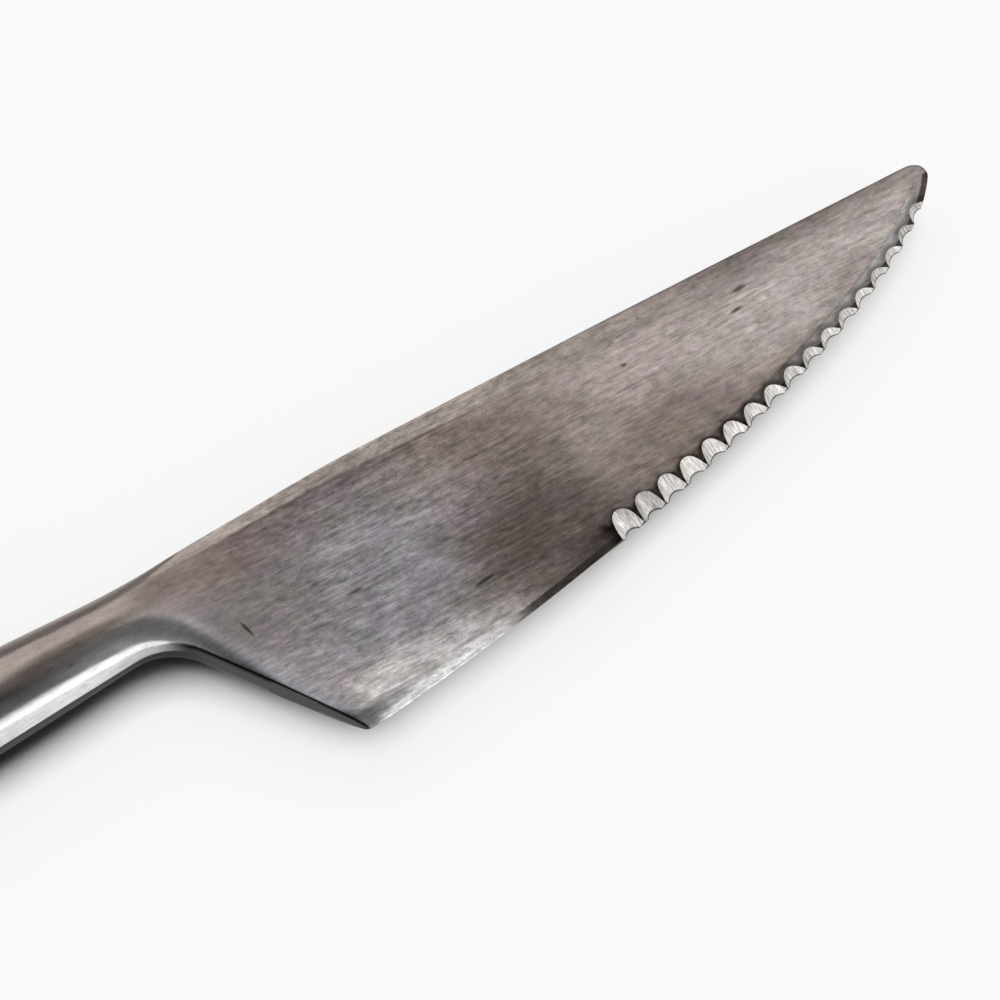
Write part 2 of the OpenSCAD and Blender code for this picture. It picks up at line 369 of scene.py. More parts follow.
# Creases keep the arrises of the blade, and fade out where the neck is round
creases = mesh.edges.layers.float.get("crease_edge") or mesh.edges.layers.float.new("crease_edge")
lastRow = blade["rows"] + 2
ringSize = 2 * (lastRow + 1)
arrisRows = (0, ringSize - 1, lastRow, lastRow + 1)
honeRows = (lastRow - 1, lastRow + 2)
for station, ring, following in zip(stations, rings, rings[1:]):
    for row in arrisRows:
        edge = next(e for e in ring[row].link_edges if e.other_vert(ring[row]) is following[row])
        edge[creases] = flatness(station[0])
    for row in honeRows:
        edge = next(e for e in ring[row].link_edges if e.other_vert(ring[row]) is following[row])
        edge[creases] = 1 if 0 <= station[4] < scallops["start"] else 0
for i in range(ringSize):
    edge = next(e for e in rings[0][i].link_edges if e.other_vert(rings[0][i]) is rings[0][i - 1])
    edge[creases] = 1
bmesh.update_edit_mesh(knife.data)
bpy.ops.mesh.select_all(action="SELECT")
bpy.ops.mesh.normals_make_consistent(inside=False)
bpy.ops.object.mode_set(mode="OBJECT")
addModifier(knife, "SUBSURF", {"levels": 2, "render_levels": 2})
addModifier(knife, "BEVEL", {
    "width": blade["arrisRadius"], "segments": 2, "limit_method": "ANGLE", "angle_limit": math.radians(50)})


# The steels

tipX = tipCentre.x + blade["tipRadius"] * math.cos(blade["tipEnd"])
cornerPlace = Vector((bladeHigh.x - tipX * millimetre, bladeLow.y, (bladeLow.z + bladeHigh.z) / 2))
look = {
    "hue": "#9C928D",
    "neckRoughness": 0.2,
    "bladeRoughness": 0.32,
    "cloudSize": 3.125,  # millimetres from one cloud of the polish to the next
    "cloudiness": 0.25,  # how much the polish varies from place to place
    "patchWander": (7, 5, 0),  # millimetres that the outlines of the stains and painted reflections wander
    "wanderSize": 6.25,  # millimetres from one bay of those outlines to the next
    "spotEdge": 0.75,  # where a spot reaches its full strength, from 0 at its rim to 1
    "fleckSizes": (1.6, 0.45, 0.45),
    "fleckRange": (0.64, 0.74),  # heights of the noise over which a fleck darkens
    "fleckTone": 0.7,
    "lineDepth": 0.02,
    # Width of the strip under the spine that the belt left: at the throat, in the
    # middle and at the point
    "stripWidths": (1.4, 2.4, 0.3),
    "stripMiddle": 38,
    # Distances over which the painted highlight on the neck's lower flank fades in towards its lower line,
    # and the painted shade on its underside towards the middle plane
    "flankFade": (1.5, 0.5),
    "underFade": (0.45, 0.15),
    "underReach": 5,  # how many times farther that painted shade reaches across the neck
}
# Tints of the clouds, by the height of the noise
tintStops = ((0.36, "#F3EEF5"), (0.5, "#F4F1F0"), (0.64, "#F1F2ED"))
# Patterns of the belt and of use: length and widths in millimetres, and contrast
patterns = (
    ((18, 0.22, 0.22), 0.7),
    ((2.2, 0.48, 0.48), 0.95),
    ((1, 0.6, 0.6), 0.7),
    ((3.4, 1.7, 1.7), 0.6),
    ((14, 6, 6), 0.5),
    ((0.22, 0.22, 0.22), 0.45),
)
# Where along the knife the patterns gain or lose strength, in millimetres, and
# from what to what
grainRuns = ((-14, 6, 0.22, 0.8), (20, 46, 1, 0.7))
# Stains from hands, heat and polish, and patches of painted reflection, lighter and darker, that stand for
# the studio seen in the steel: place and reach in millimetres from the heel's corner, turn in degrees, hue
# and strength
stainsAndReflections = (
    ((25, 22), (22, 14), 0, "#776D67", 1),
    ((8, 15), (24, 17), 0, "#868488", 1),
    ((-4, 20), (15, 12), 0, "#6E6969", 1),
    ((-3, 27), (15, 6), 0, "#706460", 1),
    ((-26, 28), (19, 6), 0, "#857B76", 1),
    ((10, 27), (16, 6), 0, "#6E696A", 0.7),
    ((29, 11), (17, 12), 0, "#5B534F", 1),
    ((48, 15), (14, 7), 15, "#7D726C", 0.9),
    ((8, 0.5), (20, 7.5), 6, "#CBC9C8", 1),
    ((74, 24), (26, 9), 5, "#A8A29E", 1),
    ((62, 30), (34, 5), 0, "#8E8682", 1),
    ((93, 27), (14, 13), 10, "#A59E9A", 1),
    ((79.5, 22), (4.5, 3), 30, "#7A716C", 0.5),
    ((19.5, 16.5), (4, 3), 20, "#625C5C", 0.6),
)
# Firm stains, scratches and nicks, and three bands of painted dark reflection along the neck and throat,
# given in the same way
marksAndDarkBands = (
    # the first three are painted dark reflection on the neck and throat
    ((-23, 24.3), (13, 1.1), 3, "#544B46", 0.8),
    ((-12, 26), (6, 2.8), 8, "#615853", 0.7),
    ((-36, 21.6), (12, 1.3), 3, "#3C322E", 0.8),
    ((-5.7, 17), (0.3, 1.7), 14, "#2A2625", 0.9),
    ((20.2, 9), (2.2, 0.4), 8, "#35302F", 0.9),
    ((7, 15.2), (1.4, 0.3), 0, "#4C4748", 0.9),
    ((4, 18.2), (1.6, 0.35), 0, "#585253", 0.9),
    ((48.3, 24.6), (0.6, 0.3), 0, "#4A4341", 0.9),
    ((65.5, 26.6), (1.5, 0.5), 5, "#5A5350", 0.9),
    ((63.7, 24.3), (1.2, 0.35), 5, "#4E4745", 0.9),
)
# painted highlight on the neck's lower flank
flankHighlightHue = "#E4E3E3"
# painted shade on the underside of the neck and the handle
underShadeHue = "#302D2D"
# Borders, in the order in which they cover one another: how each is laid on,
# its hue, and the distances over which it fades in, each from one value to another
borders = (
    # Painted shade under the strip that the belt left, a painted reflection lightening the strip itself,
    # and painted shade along the spine
    ("MULTIPLY", "#E7E5E4", (("stripGap", 3.4, 0.1), ("alongKnife", 34, 24), ("alongKnife", -8, 2))),
    ("MULTIPLY", "#E6E4E3", (("stripGap", 0.7, 0.05), ("alongKnife", 58, 46), ("alongKnife", -8, 2))),
    ("MIX", "#857C76", (("stripGap", 0.12, -0.12), ("alongKnife", 66, 54))),
    ("MULTIPLY", "#D2D0CE", (("spineGap", 3, 0.3), ("alongKnife", 50, 66))),
    ("MULTIPLY", "#DAD8D7", (("spineGap", 0.4, 0.12), ("alongKnife", 30, 55))),
    # Painted highlight on the land between the scallops near the point, and painted shade over the
    # scallops, less towards the point
    ("MIX", "#CDC9C7", (
        ("edgeGap", 2.05, 1.75),
        ("alongKnife", 56, 74),
        ("alongEdge", scallopEnd + 0.5, scallopEnd - 1.5),
    )),
    ("MULTIPLY", "#D2D0CE", (("scallopGap", 3.2, 0.5), ("alongEdge", 27, 36), ("alongKnife", 82, 62))),
    ("MULTIPLY", "#7C7A79", (
        ("scallopGap", 0.95, 0.15),
        ("alongEdge", scallops["start"] - 2.1, scallops["start"]),
        ("alongKnife", 74, 54),
    )),
    ("MULTIPLY", "#B4B2B1", (("scallopGap", 0.95, 0.15), ("alongKnife", 54, 74))),
    # Painted highlight on the honed bevel near the heel, and painted shade on it further along
    ("MIX", "#EFEEED", (("edgeGap", 1.6, 0.6), ("alongEdge", 26, 14))),
    ("MULTIPLY", "#898785", (("edgeGap", 0.85, 0.6), ("alongEdge", 16, 24))),
    # Painted reflection, lighter, beside the heel and in the throat, and painted shade on the heel's narrow
    # face
    ("MIX", "#858387", (("heelGap", 3.5, 0.8), ("alongKnife", -13, -8))),
    ("MIX", "#7E7C80", (("heelGap", 4, 1.6), ("alongKnife", -9, -16))),
    ("MIX", "#B0AEB1", (("heelGap", 4.2, 1.4), ("alongKnife", -30, -18), ("alongKnife", -8, -13))),
    ("MULTIPLY", "#272525", (("heelGap", 0.35, 0.12), ("alongKnife", -16, -12))),
    # Painted highlight on the neck's polished lower flank, and painted shade on its underside
    ("MIX", flankHighlightHue, (("heelGap", *look["flankFade"]), ("alongKnife", -12, -24))),
    ("MULTIPLY", underShadeHue, (("underGap", *look["underFade"]), ("alongKnife", -8, -14))),
)

# Martensitic stainless steel, forged, then ground along the blade with a fine belt and polished on the
# neck: a blurred grey mirror with short lines, stains and smears of use, with painted reflections,
# highlights and shade laid into its colour
bladeSteel, tree = newMaterial("beltGroundStainless")
place = addNode(
    tree, "ShaderNodeMapping",
    {"vector_type": "TEXTURE", "Location": cornerPlace, "Scale": (millimetre, millimetre, millimetre)},
    {"Vector": addNode(tree, "ShaderNodeTexCoord").outputs["Object"]}).outputs[0]
wander = addNode(
    tree, "ShaderNodeTexNoise",
    {"Scale": 1 / look["wanderSize"], "Detail": 3, "Roughness": 0.6}, {"Vector": place})
wandered = addNode(
    tree, "ShaderNodeVectorMath", {"operation": "MULTIPLY_ADD", 1: look["patchWander"]},
    {0: wander.outputs["Color"], 2: place}).outputs[0]
hue = None
spots = [(wandered, Vector(look["patchWander"]) / 2, spot) for spot in stainsAndReflections]
spots += [(place, Vector(), spot) for spot in marksAndDarkBands]
for spotPlace, shift, (centre, reach, turn, spotHue, strength) in spots:
    spotMap = addNode(
        tree, "ShaderNodeMapping",
        {
            "vector_type": "TEXTURE", "Location": Vector((*centre, 0)) + shift,
            "Rotation": (0, 0, math.radians(turn)), "Scale": (*reach, blade["length"]),
        },
        {"Vector": spotPlace})
    ball = addNode(
        tree, "ShaderNodeTexGradient", {"gradient_type": "SPHERICAL"}, {"Vector": spotMap.outputs[0]})
    share = addNode(
        tree, "ShaderNodeMapRange",
        {"interpolation_type": "SMOOTHSTEP", "From Max": look["spotEdge"], "To Max": strength},
        {"Value": ball.outputs["Fac"]})
    links = {0: share.outputs[0]}
    if hue:
        links[6] = hue
    hue = addNode(
        tree, "ShaderNodeMix", {"data_type": "RGBA", 6: toLinear(look["hue"]), 7: toLinear(spotHue)},
        links).outputs[2]
clouds = addNode(
    tree, "ShaderNodeTexNoise",
    {"Scale": 1 / look["cloudSize"], "Detail": 4, "Roughness": 0.6}, {"Vector": place})
tint = addNode(tree, "ShaderNodeValToRGB", links={"Fac": clouds.outputs[0]})
for i, (stopPlace, stopHue) in enumerate(tintStops):
    stop = tint.color_ramp.elements[i] if i < 2 else tint.color_ramp.elements.new(stopPlace)
    stop.position = stopPlace
    stop.color = toLinear(stopHue)
tinted = addNode(
    tree, "ShaderNodeMix", {"data_type": "RGBA", "blend_type": "MULTIPLY", 0: 1},
    {6: hue, 7: tint.outputs[0]})
tone = None
for sizes, contrast in patterns:
    sized = addNode(
        tree, "ShaderNodeMapping", {"vector_type": "TEXTURE", "Scale": sizes}, {"Vector": place})
    noise = addNode(
        tree, "ShaderNodeTexNoise",
        {"Scale": 1, "Detail": 3, "Roughness": 0.6}, {"Vector": sized.outputs[0]})
    layer = addNode(
        tree, "ShaderNodeMath", {"operation": "MULTIPLY_ADD", 1: contrast * 2, 2: 1 - contrast},
        {0: noise.outputs[0]})
    if tone is None:
        lines, tone = noise, layer
    else:
        tone = addNode(
            tree, "ShaderNodeMath", {"operation": "MULTIPLY"}, {0: tone.outputs[0], 1: layer.outputs[0]})
distanceNames = (
    "alongKnife", "alongEdge", "edgeGap", "spineGap", "stripGap", "heelGap", "underGap", "grindHeight")
measured = {
    name: addNode(tree, "ShaderNodeAttribute", {"attribute_name": name}).outputs["Fac"]
    for name in distanceNames}
for start, end, startShare, endShare in grainRuns:
    strength = addNode(
        tree, "ShaderNodeMapRange",
        {
            "interpolation_type": "SMOOTHSTEP", "From Min": start, "From Max": end,
            "To Min": startShare, "To Max": endShare,
        },
        {"Value": measured["alongKnife"]})
    tone = addNode(
        tree, "ShaderNodeMath", {"operation": "POWER"}, {0: tone.outputs[0], 1: strength.outputs[0]})
fleckMap = addNode(
    tree, "ShaderNodeMapping", {"vector_type": "TEXTURE", "Scale": look["fleckSizes"]}, {"Vector": place})
flecks = addNode(
    tree, "ShaderNodeTexNoise",
    {"Scale": 1, "Detail": 2, "Roughness": 0.5}, {"Vector": fleckMap.outputs[0]})
fleckTone = addNode(
    tree, "ShaderNodeMapRange",
    {
        "interpolation_type": "SMOOTHSTEP", "From Min": look["fleckRange"][0],
        "From Max": look["fleckRange"][1], "To Min": 1, "To Max": look["fleckTone"],
    },
    {"Value": flecks.outputs[0]})
tone = addNode(
    tree, "ShaderNodeMath", {"operation": "MULTIPLY"}, {0: tone.outputs[0], 1: fleckTone.outputs[0]})

# The painted shade over the scallops follows their arches, which start over at every tooth
fromFirst = addNode(
    tree, "ShaderNodeMath", {"operation": "SUBTRACT", 1: scallops["start"]}, {0: measured["alongEdge"]})
fromTooth = addNode(
    tree, "ShaderNodeMath", {"operation": "PINGPONG", 1: scallops["pitch"] / 2}, {0: fromFirst.outputs[0]})
arch = addNode(
    tree, "ShaderNodeMapRange",
    {"From Max": scallops["pitch"] / 2, "To Min": scallops["archFoot"]}, {"Value": fromTooth.outputs[0]})
roundArch = addNode(
    tree, "ShaderNodeMath", {"operation": "POWER", 1: scallops["archPower"]}, {0: arch.outputs[0]})
archHeight = addNode(
    tree, "ShaderNodeMath",
    {"operation": "MULTIPLY"}, {0: roundArch.outputs[0], 1: measured["grindHeight"]})
measured["scallopGap"] = addNode(
    tree, "ShaderNodeMath", {"operation": "SUBTRACT"},
    {0: measured["edgeGap"], 1: archHeight.outputs[0]}).outputs[0]
for blend, borderHue, spans in borders:
    share = None
    for name, start, end in spans:
        span = addNode(
            tree, "ShaderNodeMapRange",
            {"interpolation_type": "SMOOTHSTEP", "From Min": start, "From Max": end},
            {"Value": measured[name]}).outputs[0]
        if share:
            span = addNode(
                tree, "ShaderNodeMath", {"operation": "MULTIPLY"}, {0: share, 1: span}).outputs[0]
        share = span
    tinted = addNode(
        tree, "ShaderNodeMix", {"data_type": "RGBA", "blend_type": blend, 7: toLinear(borderHue)},
        {0: share, 6: tinted.outputs[2]})
colour = addNode(
    tree, "ShaderNodeMix", {"data_type": "RGBA", "blend_type": "MULTIPLY", 0: 1},
    {6: tinted.outputs[2], 7: tone.outputs[0]})
polish = addNode(
    tree, "ShaderNodeMapRange",
    {
        "interpolation_type": "SMOOTHSTEP", "From Min": -neck["throat"], "From Max": neck["swellLength"],
        "To Min": look["neckRoughness"], "To Max": look["bladeRoughness"],
    },
    {"Value": measured["alongKnife"]})
cloudRough = addNode(
    tree, "ShaderNodeMath",
    {"operation": "MULTIPLY_ADD", 1: look["cloudiness"] * 2, 2: 1 - look["cloudiness"]},
    {0: clouds.outputs[0]})
roughness = addNode(
    tree, "ShaderNodeMath", {"operation": "MULTIPLY"}, {0: polish.outputs[0], 1: cloudRough.outputs[0]})
bump = addNode(
    tree, "ShaderNodeBump",
    {"Strength": 0.25, "Distance": look["lineDepth"] * millimetre}, {"Height": lines.outputs[0]})
shader = addNode(
    tree, "ShaderNodeBsdfPrincipled", {"Metallic": 1},
    {"Base Color": colour.outputs[2], "Roughness": roughness.outputs[0], "Normal": bump.outputs[0]})
addNode(tree, "ShaderNodeOutputMaterial", links={"Surface": shader.outputs[0]})

# The same steel where the scallops were ground through it last, by the round face of a wheel: brighter and
# rougher, with coarse lines that run out over the edge, and darker along the edge itself, near the back
# face
flute = {
    "hue": "#EAE7E2",
    "roughness": 0.5,
    "lineSizes": (0.2, 1.2, 1),  # width and length in millimetres of the wheel's lines
    "lineContrast": 1.3,
    "lineDepth": 0.04,
    "backDarkening": (0.05, 0.16),  # millimetres over the back face within which the darkening fades
    "backDarkTone": 0.1,
    "dullest": 0.76,  # tone of the dullest scallop beside the brightest
    "firstTone": 3,  # which run of tones the scallops draw
    "topSpan": (0.6, 2.4),  # millimetres from the edge over which a scallop darkens
    "topTone": 0.8,  # tone at the top of a scallop
    "pointTone": 0.8,  # tone of the scallops near the point
}
scallopSteel, tree = newMaterial("wheelGroundStainless")
along = addNode(tree, "ShaderNodeAttribute", {"attribute_name": "alongEdge"}).outputs["Fac"]
gap = addNode(tree, "ShaderNodeAttribute", {"attribute_name": "edgeGap"}).outputs["Fac"]
flutePlace = addNode(tree, "ShaderNodeCombineXYZ", links={"X": along, "Y": gap})
fluteMap = addNode(
    tree, "ShaderNodeMapping", {"vector_type": "TEXTURE", "Scale": flute["lineSizes"]},
    {"Vector": flutePlace.outputs[0]})
fluteLines = addNode(
    tree, "ShaderNodeTexNoise",
    {"Scale": 1, "Detail": 3, "Roughness": 0.65}, {"Vector": fluteMap.outputs[0]})
fluteTone = addNode(
    tree, "ShaderNodeMath",
    {"operation": "MULTIPLY_ADD", 1: flute["lineContrast"] * 2, 2: 1 - flute["lineContrast"]},
    {0: fluteLines.outputs[0]})
overBack = addNode(tree, "ShaderNodeAttribute", {"attribute_name": "overBack"})
backDarkening = addNode(
    tree, "ShaderNodeMapRange",
    {
        "interpolation_type": "SMOOTHSTEP", "From Min": flute["backDarkening"][0], "From Max": flute["backDarkening"][1],
        "To Min": flute["backDarkTone"], "To Max": 1,
    },
    {"Value": overBack.outputs["Fac"]})
scallopNumber = addNode(
    tree, "ShaderNodeMath",
    {
        "operation": "MULTIPLY_ADD", 1: 1 / scallops["pitch"],
        2: flute["firstTone"] - scallops["start"] / scallops["pitch"],
    },
    {0: along})
wholeNumber = addNode(tree, "ShaderNodeMath", {"operation": "FLOOR"}, {0: scallopNumber.outputs[0]})
scallopDraw = addNode(
    tree, "ShaderNodeTexWhiteNoise", {"noise_dimensions": "1D"}, {"W": wholeNumber.outputs[0]})
tone = addNode(
    tree, "ShaderNodeMath", {"operation": "MULTIPLY"}, {0: fluteTone.outputs[0], 1: backDarkening.outputs[0]})
# Each scallop came out a little brighter or duller, and each is darker towards its top and near the point
fluteTones = (
    (scallopDraw.outputs["Value"], 0, 1, flute["dullest"], 1),
    (gap, *flute["topSpan"], 1, flute["topTone"]),
    (along, scallops["start"] + 2 * scallops["pitch"], scallopEnd, 1, flute["pointTone"]),
)
for source, start, end, startTone, endTone in fluteTones:
    share = addNode(
        tree, "ShaderNodeMapRange",
        {"From Min": start, "From Max": end, "To Min": startTone, "To Max": endTone}, {"Value": source})
    tone = addNode(
        tree, "ShaderNodeMath", {"operation": "MULTIPLY"}, {0: tone.outputs[0], 1: share.outputs[0]})
fluteColour = addNode(
    tree, "ShaderNodeMix",
    {"data_type": "RGBA", "blend_type": "MULTIPLY", 0: 1, 6: toLinear(flute["hue"])},
    {7: tone.outputs[0]})
fluteBump = addNode(
    tree, "ShaderNodeBump",
    {"Strength": 0.4, "Distance": flute["lineDepth"] * millimetre}, {"Height": fluteLines.outputs[0]})
shader = addNode(
    tree, "ShaderNodeBsdfPrincipled", {"Metallic": 1, "Roughness": flute["roughness"]},
    {"Base Color": fluteColour.outputs[2], "Normal": fluteBump.outputs[0]})
addNode(tree, "ShaderNodeOutputMaterial", links={"Surface": shader.outputs[0]})

# Austenitic stainless sheet, pressed, polished with a cloth wheel and worn by
# hands: a soft reflection with brown clouds, and fine scratches along the handle
sheet = {
    "hues": ("#786E69", "#9D9693"),
    "cloudSizes": (24, 7, 7),
    "cloudRange": (0.35, 0.65),
    "scratchSizes": (9, 0.3, 0.3),
    "scratchContrast": 0.35,
    "roughness": 0.14,
    "cloudRoughness": 0.12,  # how much rougher the lightest clouds are
}
handleSteel, tree = newMaterial("polishedStainlessSheet")
place = addNode(
    tree, "ShaderNodeMapping",
    {"vector_type": "TEXTURE", "Scale": (millimetre, millimetre, millimetre)},
    {"Vector": addNode(tree, "ShaderNodeTexCoord").outputs["Object"]}).outputs[0]
sheetMap = addNode(
    tree, "ShaderNodeMapping",
    {"vector_type": "TEXTURE", "Scale": sheet["cloudSizes"]}, {"Vector": place})
sheetCloud = addNode(
    tree, "ShaderNodeTexNoise",
    {"Scale": 1, "Detail": 4, "Roughness": 0.6}, {"Vector": sheetMap.outputs[0]})
sheetShare = addNode(
    tree, "ShaderNodeMapRange",
    {"From Min": sheet["cloudRange"][0], "From Max": sheet["cloudRange"][1]},
    {"Value": sheetCloud.outputs[0]})
sheetHue = addNode(
    tree, "ShaderNodeMix",
    {"data_type": "RGBA", 6: toLinear(sheet["hues"][0]), 7: toLinear(sheet["hues"][1])},
    {0: sheetShare.outputs[0]})
scratchMap = addNode(
    tree, "ShaderNodeMapping",
    {"vector_type": "TEXTURE", "Scale": sheet["scratchSizes"]}, {"Vector": place})
scratches = addNode(
    tree, "ShaderNodeTexNoise",
    {"Scale": 1, "Detail": 3, "Roughness": 0.6}, {"Vector": scratchMap.outputs[0]})
scratchTone = addNode(
    tree, "ShaderNodeMath",
    {"operation": "MULTIPLY_ADD", 1: sheet["scratchContrast"] * 2, 2: 1 - sheet["scratchContrast"]},
    {0: scratches.outputs[0]})
sheetColour = addNode(
    tree, "ShaderNodeMix", {"data_type": "RGBA", "blend_type": "MULTIPLY", 0: 1},
    {6: sheetHue.outputs[2], 7: scratchTone.outputs[0]})
# The painted highlight on the neck's flank and the painted shade under it run out along the handle
for name, blend, borderHue in (("flank", "MIX", flankHighlightHue), ("underShade", "MULTIPLY", underShadeHue)):
    share = addNode(tree, "ShaderNodeAttribute", {"attribute_name": name})
    sheetColour = addNode(
        tree, "ShaderNodeMix", {"data_type": "RGBA", "blend_type": blend, 7: toLinear(borderHue)},
        {0: share.outputs["Fac"], 6: sheetColour.outputs[2]})
sheetRough = addNode(
    tree, "ShaderNodeMath",
    {"operation": "MULTIPLY_ADD", 1: sheet["cloudRoughness"], 2: sheet["roughness"]},
    {0: sheetCloud.outputs[0]})
shader = addNode(
    tree, "ShaderNodeBsdfPrincipled", {"Metallic": 1},
    {"Base Color": sheetColour.outputs[2], "Roughness": sheetRough.outputs[0]})
addNode(tree, "ShaderNodeOutputMaterial", links={"Surface": shader.outputs[0]})

# Silver braze, filed flush with the handle: softer, warmer and duller than the
# steel on both sides of it
brazeMetal, tree = newMaterial("filedSilverBraze")
place = addNode(tree, "ShaderNodeTexCoord").outputs["Object"]
brazeGrain = addNode(
    tree, "ShaderNodeTexNoise", {"Scale": 1 / millimetre, "Detail": 4}, {"Vector": place})
brazeHue = addNode(
    tree, "ShaderNodeMix",
    {"data_type": "RGBA", 6: toLinear("#A39C8C"), 7: toLinear("#B8B2A4")},
    {0: brazeGrain.outputs[0]})
shader = addNode(
    tree, "ShaderNodeBsdfPrincipled",
    {"Metallic": 1, "Roughness": 0.34}, {"Base Color": brazeHue.outputs[2]})
addNode(tree, "ShaderNodeOutputMaterial", links={"Surface": shader.outputs[0]})

# Filled epoxy resin, poured: dull, dark and slightly speckled by its filler
resin, tree = newMaterial("filledEpoxy")
place = addNode(tree, "ShaderNodeTexCoord").outputs["Object"]
filler = addNode(
    tree, "ShaderNodeTexNoise", {"Scale": 2 / millimetre, "Detail": 5}, {"Vector": place})
resinHue = addNode(
    tree, "ShaderNodeMix",
    {"data_type": "RGBA", 6: toLinear("#4A443E"), 7: toLinear("#7A7268")},
    {0: filler.outputs[0]})
shader = addNode(
    tree, "ShaderNodeBsdfPrincipled",
    {"Roughness": 0.75, "IOR": 1.55}, {"Base Color": resinHue.outputs[2]})
addNode(tree, "ShaderNodeOutputMaterial", links={"Surface": shader.outputs[0]})
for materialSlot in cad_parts["tang_cement"].material_slots:
    materialSlot.material = resin
print("steels, braze and resin are mixed")

# The plug and the tang behind the neck, which the handle hides

tang = {
    "plugLength": 5,
    "plugMargin": 0.85,
    "length": 55,
    "width": 6.5,
    "thickness": 3,
    "corner": 0.6,
    "overlap": 1,  # how far the bar starts inside the plug, so that the two join
}


def boolean(piece, cutter, operation):
    addModifier(piece, "BOOLEAN", {
        "object": cutter, "operation": operation, "solver": "EXACT", "material_mode": "TRANSFER"})
    bpy.data.objects.remove(cutter)


makeOnly(knife)
knife.data.materials.append(bladeSteel)
bpy.ops.object.mode_set(mode="EDIT")
mesh = bmesh.from_edit_mesh(knife.data)
bpy.ops.mesh.select_mode(type="FACE")
bpy.ops.mesh.select_all(action="DESELECT")
for face in mesh.faces:
    face.select_set(face.normal.x < -0.99 and face.calc_center_median().x < 0.1 - neck["length"])
bpy.ops.mesh.inset(thickness=tang["plugMargin"])
bpy.ops.mesh.extrude_region_move(TRANSFORM_OT_translate={"value": (-tang["plugLength"], 0, 0)})
bpy.ops.object.mode_set(mode="OBJECT")

tangFront = tang["overlap"] - neck["length"] - tang["plugLength"]
barLength = tang["length"] + tang["overlap"]
bpy.ops.object.select_all(action="DESELECT")
bpy.ops.mesh.primitive_cube_add(
    size=1,
    location=(tangFront - barLength / 2, neckCentre, 0),
    scale=(barLength, tang["width"], tang["thickness"]),
)
tangBar = bpy.context.object
tangBar.data.materials.append(bladeSteel)
bpy.ops.object.transform_apply(location=True, rotation=True, scale=True)
addModifier(tangBar, "BEVEL", {"width": tang["corner"], "segments": 2})
boolean(knife, tangBar, "UNION")
print("blade, neck and tang:", len(knife.data.polygons), "faces")

# The scallops, each ground by the round face of a wheel that leaves through
# the back of the edge

for i in range(scallopCount):
    start = scallops["start"] + scallops["pitch"] * i
    middle = edgeAt(start + scallops["pitch"] / 2)
    turn = edgeTurn(start, start + scallops["pitch"])
    height = scallopHeight(i / max(1, scallopCount - 1))
    half = halfThickness(middle.x, middle.y)
    rise = math.atan(2 * half / (height - scallops["notch"]))
    below = scallops["notch"] / math.cos(rise) + scallops["overrun"]
    above = (height - scallops["notch"]) / math.cos(rise) + scallops["overrun"]
    axis = Vector((0, math.cos(rise), math.sin(rise)))
    side = Vector((0, -math.sin(rise), math.cos(rise))) * scallops["radius"]
    across = Vector((0, scallops["notch"], -half)) + side + axis * (above - below) / 2
    across.rotate(Matrix.Rotation(turn, 3, "Z"))
    bpy.ops.object.select_all(action="DESELECT")
    bpy.ops.mesh.primitive_cylinder_add(
        vertices=128,
        radius=scallops["radius"],
        depth=above + below,
        location=Vector((middle.x, middle.y, 0)) + across,
        rotation=(rise - math.pi / 2, 0, turn),
    )
    wheel = bpy.context.object
    wheel.data.materials.append(scallopSteel)
    boolean(knife, wheel, "DIFFERENCE")
print("scallops:", scallopCount)

# Distances in millimetres that the steels' patterns follow


def stripWidth(x):
    start, middle, end = look["stripWidths"]
    if x < look["stripMiddle"]:
        return mix(start, middle, ease((x + neck["throat"]) / (look["stripMiddle"] + neck["throat"])))
    return mix(end, middle, ease((blade["length"] - x) / (blade["length"] - look["stripMiddle"])))


def gapsTo(outline, places):
    starts, sides = outline[:-1], np.diff(outline, axis=0)
    lengths = np.linalg.norm(sides, axis=1)
    runs = np.cumsum(lengths) - lengths
    gaps, alongs = [], []
    batch = 4000  # points measured at one time
    for first in range(0, len(places), batch):
        away = places[first:first + batch, None] - starts
        shares = np.clip((away * sides).sum(axis=2) / lengths ** 2, 0, 1)
        apart = np.linalg.norm(away - shares[..., None] * sides, axis=2)
        nearest = apart.argmin(axis=1)
        each = np.arange(len(nearest))
        gaps.append(apart[each, nearest])
        alongs.append(runs[nearest] + shares[each, nearest] * lengths[nearest])
    return np.concatenate(gaps), np.concatenate(alongs)


corners = np.empty(len(knife.data.vertices) * 3)
knife.data.vertices.foreach_get("co", corners)
corners = corners.reshape(-1, 3)
plan = corners[:, :2]
topPoints = [(x, topLine(x)) for x in np.linspace(-neck["length"], tipCentre.x, 120)]
for turn in np.linspace(math.pi / 2, blade["tipTurn"] - math.pi / 2, 13)[1:]:
    topPoints.append(tipCentre + heading(turn) * blade["tipRadius"])
topOutline = np.array(topPoints)
heelOutline = np.array([station[:2] for station in stations if station[4] <= 0])
edgeGaps, alongs = gapsTo(edgePoints, plan)
spineGaps, _ = gapsTo(topOutline, plan)
heelGaps, _ = gapsTo(heelOutline, plan)
strip = np.array([stripWidth(x) for x in plan[:, 0]])
# Beyond the last scallop the height falls below zero, so that its painted shade ends
grindShares = np.clip((alongs - scallops["start"]) / (scallopEnd - scallops["start"]), 0, 1)
grindHeights = scallopHeight(grindShares) - scallops["runOut"] * np.maximum(0, alongs - scallopEnd)
backs = np.array([halfThickness(x, y) for x, y in plan])
distances = {
    "alongKnife": plan[:, 0],
    "alongEdge": alongs,
    "edgeGap": edgeGaps,
    "grindHeight": grindHeights,
    "spineGap": spineGaps,
    "stripGap": spineGaps - strip,
    "heelGap": heelGaps,
    # Small all over the underside of the neck, up to its middle plane
    "underGap": np.maximum(corners[:, 2], heelGaps / look["underReach"]),
    "overBack": corners[:, 2] + backs,
}
for name, values in distances.items():
    knife.data.attributes.new(name, "FLOAT", "POINT").data.foreach_set("value", values)

# The hollow handle: two pressed half shells with a braze between them

